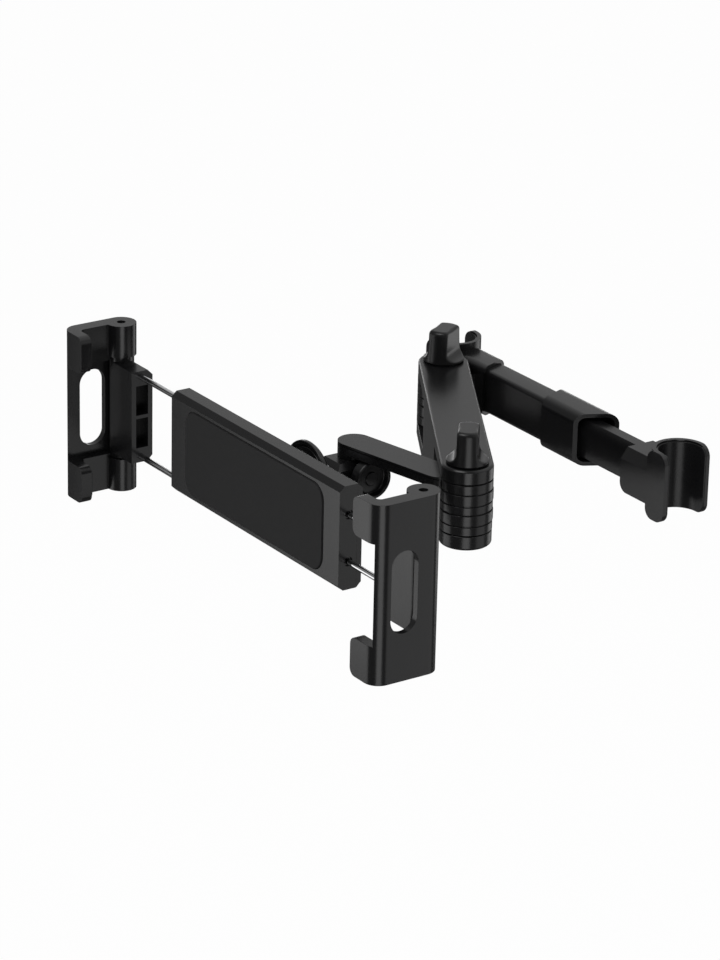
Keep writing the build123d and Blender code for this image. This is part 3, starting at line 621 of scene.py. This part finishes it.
# %% Ball and stem
BALL = 7.5
FLAT_TURN = 0.35
STEM_TURN = 0.595
NUT_TO_BALL = 3.5
BALL_ROWS = 40
turn = np.linspace(FLAT_TURN, pi - STEM_TURN, BALL_ROWS)
round_part = np.stack([BALL * np.sin(turn), -BALL * np.cos(turn)], axis=-1)
stem = rounded([(4.2, 6.4, 0), (4.2, 11.2, 0.3), (2.5, 11.2, 0.2), (2.5, 16.0, 0.3), (0.0, 16.0, 0)])
stud_profile = np.vstack([[(0.0, round_part[0, 1])], round_part, stem])
ball_centre = (nut_back[0], nut_back[1] - NUT_TO_BALL, nut_back[2])
stud_grid = turned(stud_profile, ball_centre, (0, 1, 0))
turned_pieces.append(skin("ball_stud_turned", stud_grid, "ball_stud", ["ball_stud"]))

# %% Chrome rods, two to a side
ROD = 1.3
ROD_EDGE = 0.4
ROD_EDGE_STEPS = 6
ROD_COLUMNS = 40
for side in ("left", "right"):
    node = side + "_rods"
    start, stop = span_of(node, 0)
    bottom, top = span_of(node, 2)
    length = stop - start
    ends = [(0.0, 0.0, 0), (ROD, 0.0, ROD_EDGE), (ROD, length, ROD_EDGE), (0.0, length, 0)]
    rod_profile = rounded(ends, ROD_EDGE_STEPS)
    for k, z in enumerate((bottom + ROD, top - ROD)):
        grid = turned(rod_profile, (start, middle_of(node)[1], z), (1, 0, 0), ROD_COLUMNS)
        replaced = [node] if k == 0 else []
        turned_pieces.append(skin(f"{side}_rod_{k + 1}", grid, node, replaced))
print("turned pieces", len(turned_pieces))

# %% [markdown]
# ## Room and light
#
# Black satin plastic shows the room more than it shows light, so the room is built for the mirror. The
# camera sees white all round. Mirrored rays see a dim floor and a dim room with two pale walls and a pale
# patch of ceiling, which the flat tops reflect. Six soft lamps draw the long highlights down the round
# parts. The floor lies well below the holder, so that its pale colour doesn't fill the dark sides.

# %% Floor
# The camera sees the floor's own light, plain white, for all but a small share that takes the shadow.
# Mirrored rays see that light too, but dimmed, and with a larger share of the floor as it is lit.
FLOOR_DROP = 0.5
FLOOR_HALF = 12.0
FLOOR_COLOUR = (0.86, 0.86, 0.86, 1)
FLOOR_ROUGHNESS = 0.9
WHITE = (1, 1, 1, 1)
CAMERA_WHITE = 0.97
GLOSSY_SHARE = 0.9
GLOSSY_FLOOR = 0.06
floor_level = cad_box[0][2] - FLOOR_DROP
floor_mesh = bpy.data.meshes.new("floor")
corners = [(x * FLOOR_HALF, y * FLOOR_HALF, floor_level) for x, y in ((-1, -1), (1, -1), (1, 1), (-1, 1))]
floor_mesh.from_pydata(corners, [], [(0, 1, 2, 3)])
floor = bpy.data.objects.new("floor", floor_mesh)
scene.collection.objects.link(floor)
floor_paint = Paint("pale_floor")
floor_paint.set(Base_Color=FLOOR_COLOUR, Roughness=FLOOR_ROUGHNESS)
path = floor_paint.node("ShaderNodeLightPath", {}, {})
seen = Field(floor_paint, path.outputs["Is Camera Ray"])
mirrored = Field(floor_paint, path.outputs["Is Glossy Ray"])
through = Field(floor_paint, path.outputs["Is Transmission Ray"])
glow = 1.0 - mirrored * (1.0 - GLOSSY_FLOOR)
white = floor_paint.node("ShaderNodeEmission", {}, {"Color": WHITE, "Strength": glow})
share = (seen + through) * CAMERA_WHITE + mirrored * GLOSSY_SHARE
blend = floor_paint.node("ShaderNodeMixShader", {}, {0: share})
floor_paint.tree.links.new(floor_paint.surface.outputs[0], blend.inputs[1])
floor_paint.tree.links.new(white.outputs[0], blend.inputs[2])
floor_paint.tree.links.new(blend.outputs[0], floor_paint.tree.nodes["Material Output"].inputs[0])
floor_mesh.materials.append(floor_paint.material)
print("floor at", round(floor_level, 3), "m")

# %% Surround
# Each wall has a direction, the cosines from it at which the wall starts and is full, and a brightness.
SKY_LIGHT = 0.5
ROOM_LIGHT = 0.2
WALLS = [
    ((-0.79, 0.50, 0.36), 0.60, 0.95, 0.32),
    ((-0.05, 0.45, 0.89), 0.80, 0.97, 0.50),
    ((0.60, 0.75, 0.30), 0.50, 0.95, 0.35),
]
world = bpy.data.worlds.new("studio")
scene.world = world
world.use_nodes = True
sky = world.node_tree


def world_node(kind, settings, inputs):
    """Add a node to the surround, with its settings and the values or links of its sockets."""
    made = sky.nodes.new(kind)
    for key, value in settings.items():
        setattr(made, key, value)
    for key, value in inputs.items():
        if isinstance(value, bpy.types.NodeSocket):
            sky.links.new(value, made.inputs[key])
        else:
            made.inputs[key].default_value = value
    return made.outputs


rays = world_node("ShaderNodeLightPath", {}, {})
way = world_node("ShaderNodeTexCoord", {}, {})["Generated"]
level = ROOM_LIGHT
for direction, from_cosine, to_cosine, brightness in WALLS:
    dot = world_node("ShaderNodeVectorMath", {"operation": "DOT_PRODUCT"}, {0: way, 1: direction})
    edges = {0: dot["Value"], 1: from_cosine, 2: to_cosine, 3: 0.0, 4: brightness}
    wall = world_node("ShaderNodeMapRange", {"interpolation_type": "SMOOTHSTEP"}, edges)
    level = world_node("ShaderNodeMath", {"operation": "ADD"}, {0: wall[0], 1: level})[0]
in_mirror = world_node("ShaderNodeMix", {}, {0: rays["Is Glossy Ray"], 2: SKY_LIGHT, 3: level})[0]
either = {0: rays["Is Camera Ray"], 1: rays["Is Transmission Ray"]}
clear = world_node("ShaderNodeMath", {"operation": "MAXIMUM"}, either)[0]
strength = world_node("ShaderNodeMix", {}, {0: clear, 2: in_mirror, 3: 1.0})[0]
background = sky.nodes["Background"]
background.inputs[0].default_value = WHITE
sky.links.new(strength, background.inputs[1])
print("walls", len(WALLS))

# %% Lamps
# Each lamp has a direction from the holder, a distance, a width and height, all in metres, and a radiance.
CENTRE = Vector((0.067, -0.08, 0.0))
LAMPS = [
    ("key", (0.1, -0.62, 0.95), 1.7, (0.9, 0.9), 2.6),
    ("front_card", (-0.51, -0.86, -0.245), 0.79, (0.55, 0.42), 1.25),
    ("column_strip", (0.86, -0.50, -0.30), 0.85, (0.42, 0.42), 1.7),
    ("side_card", (0.79, 0.50, -0.33), 0.9, (0.6, 0.5), 0.6),
    ("edge_strip", (-0.866, 0.50, 0.0), 1.4, (1.15, 0.18), 1.6),
    ("back_card", (0.0, 0.95, -0.22), 0.9, (0.5, 0.4), 1.0),
]


def softbox(name, direction, distance, size, radiance):
    """A soft lamp seen from the holder in one direction, hidden from the camera itself."""
    lamp_data = bpy.data.lights.new(name, "AREA")
    lamp_data.shape = "RECTANGLE"
    lamp_data.size, lamp_data.size_y = size
    lamp_data.energy = radiance * pi * size[0] * size[1]
    lamp = bpy.data.objects.new(name, lamp_data)
    toward = Vector(direction).normalized()
    lamp.location = CENTRE + toward * distance
    lamp.visible_camera = False
    lamp.rotation_euler = (-toward).to_track_quat("-Z", "Y").to_euler()
    scene.collection.objects.link(lamp)
    return lamp


lamps = [softbox(*lamp) for lamp in LAMPS]
print("lamps", len(lamps))
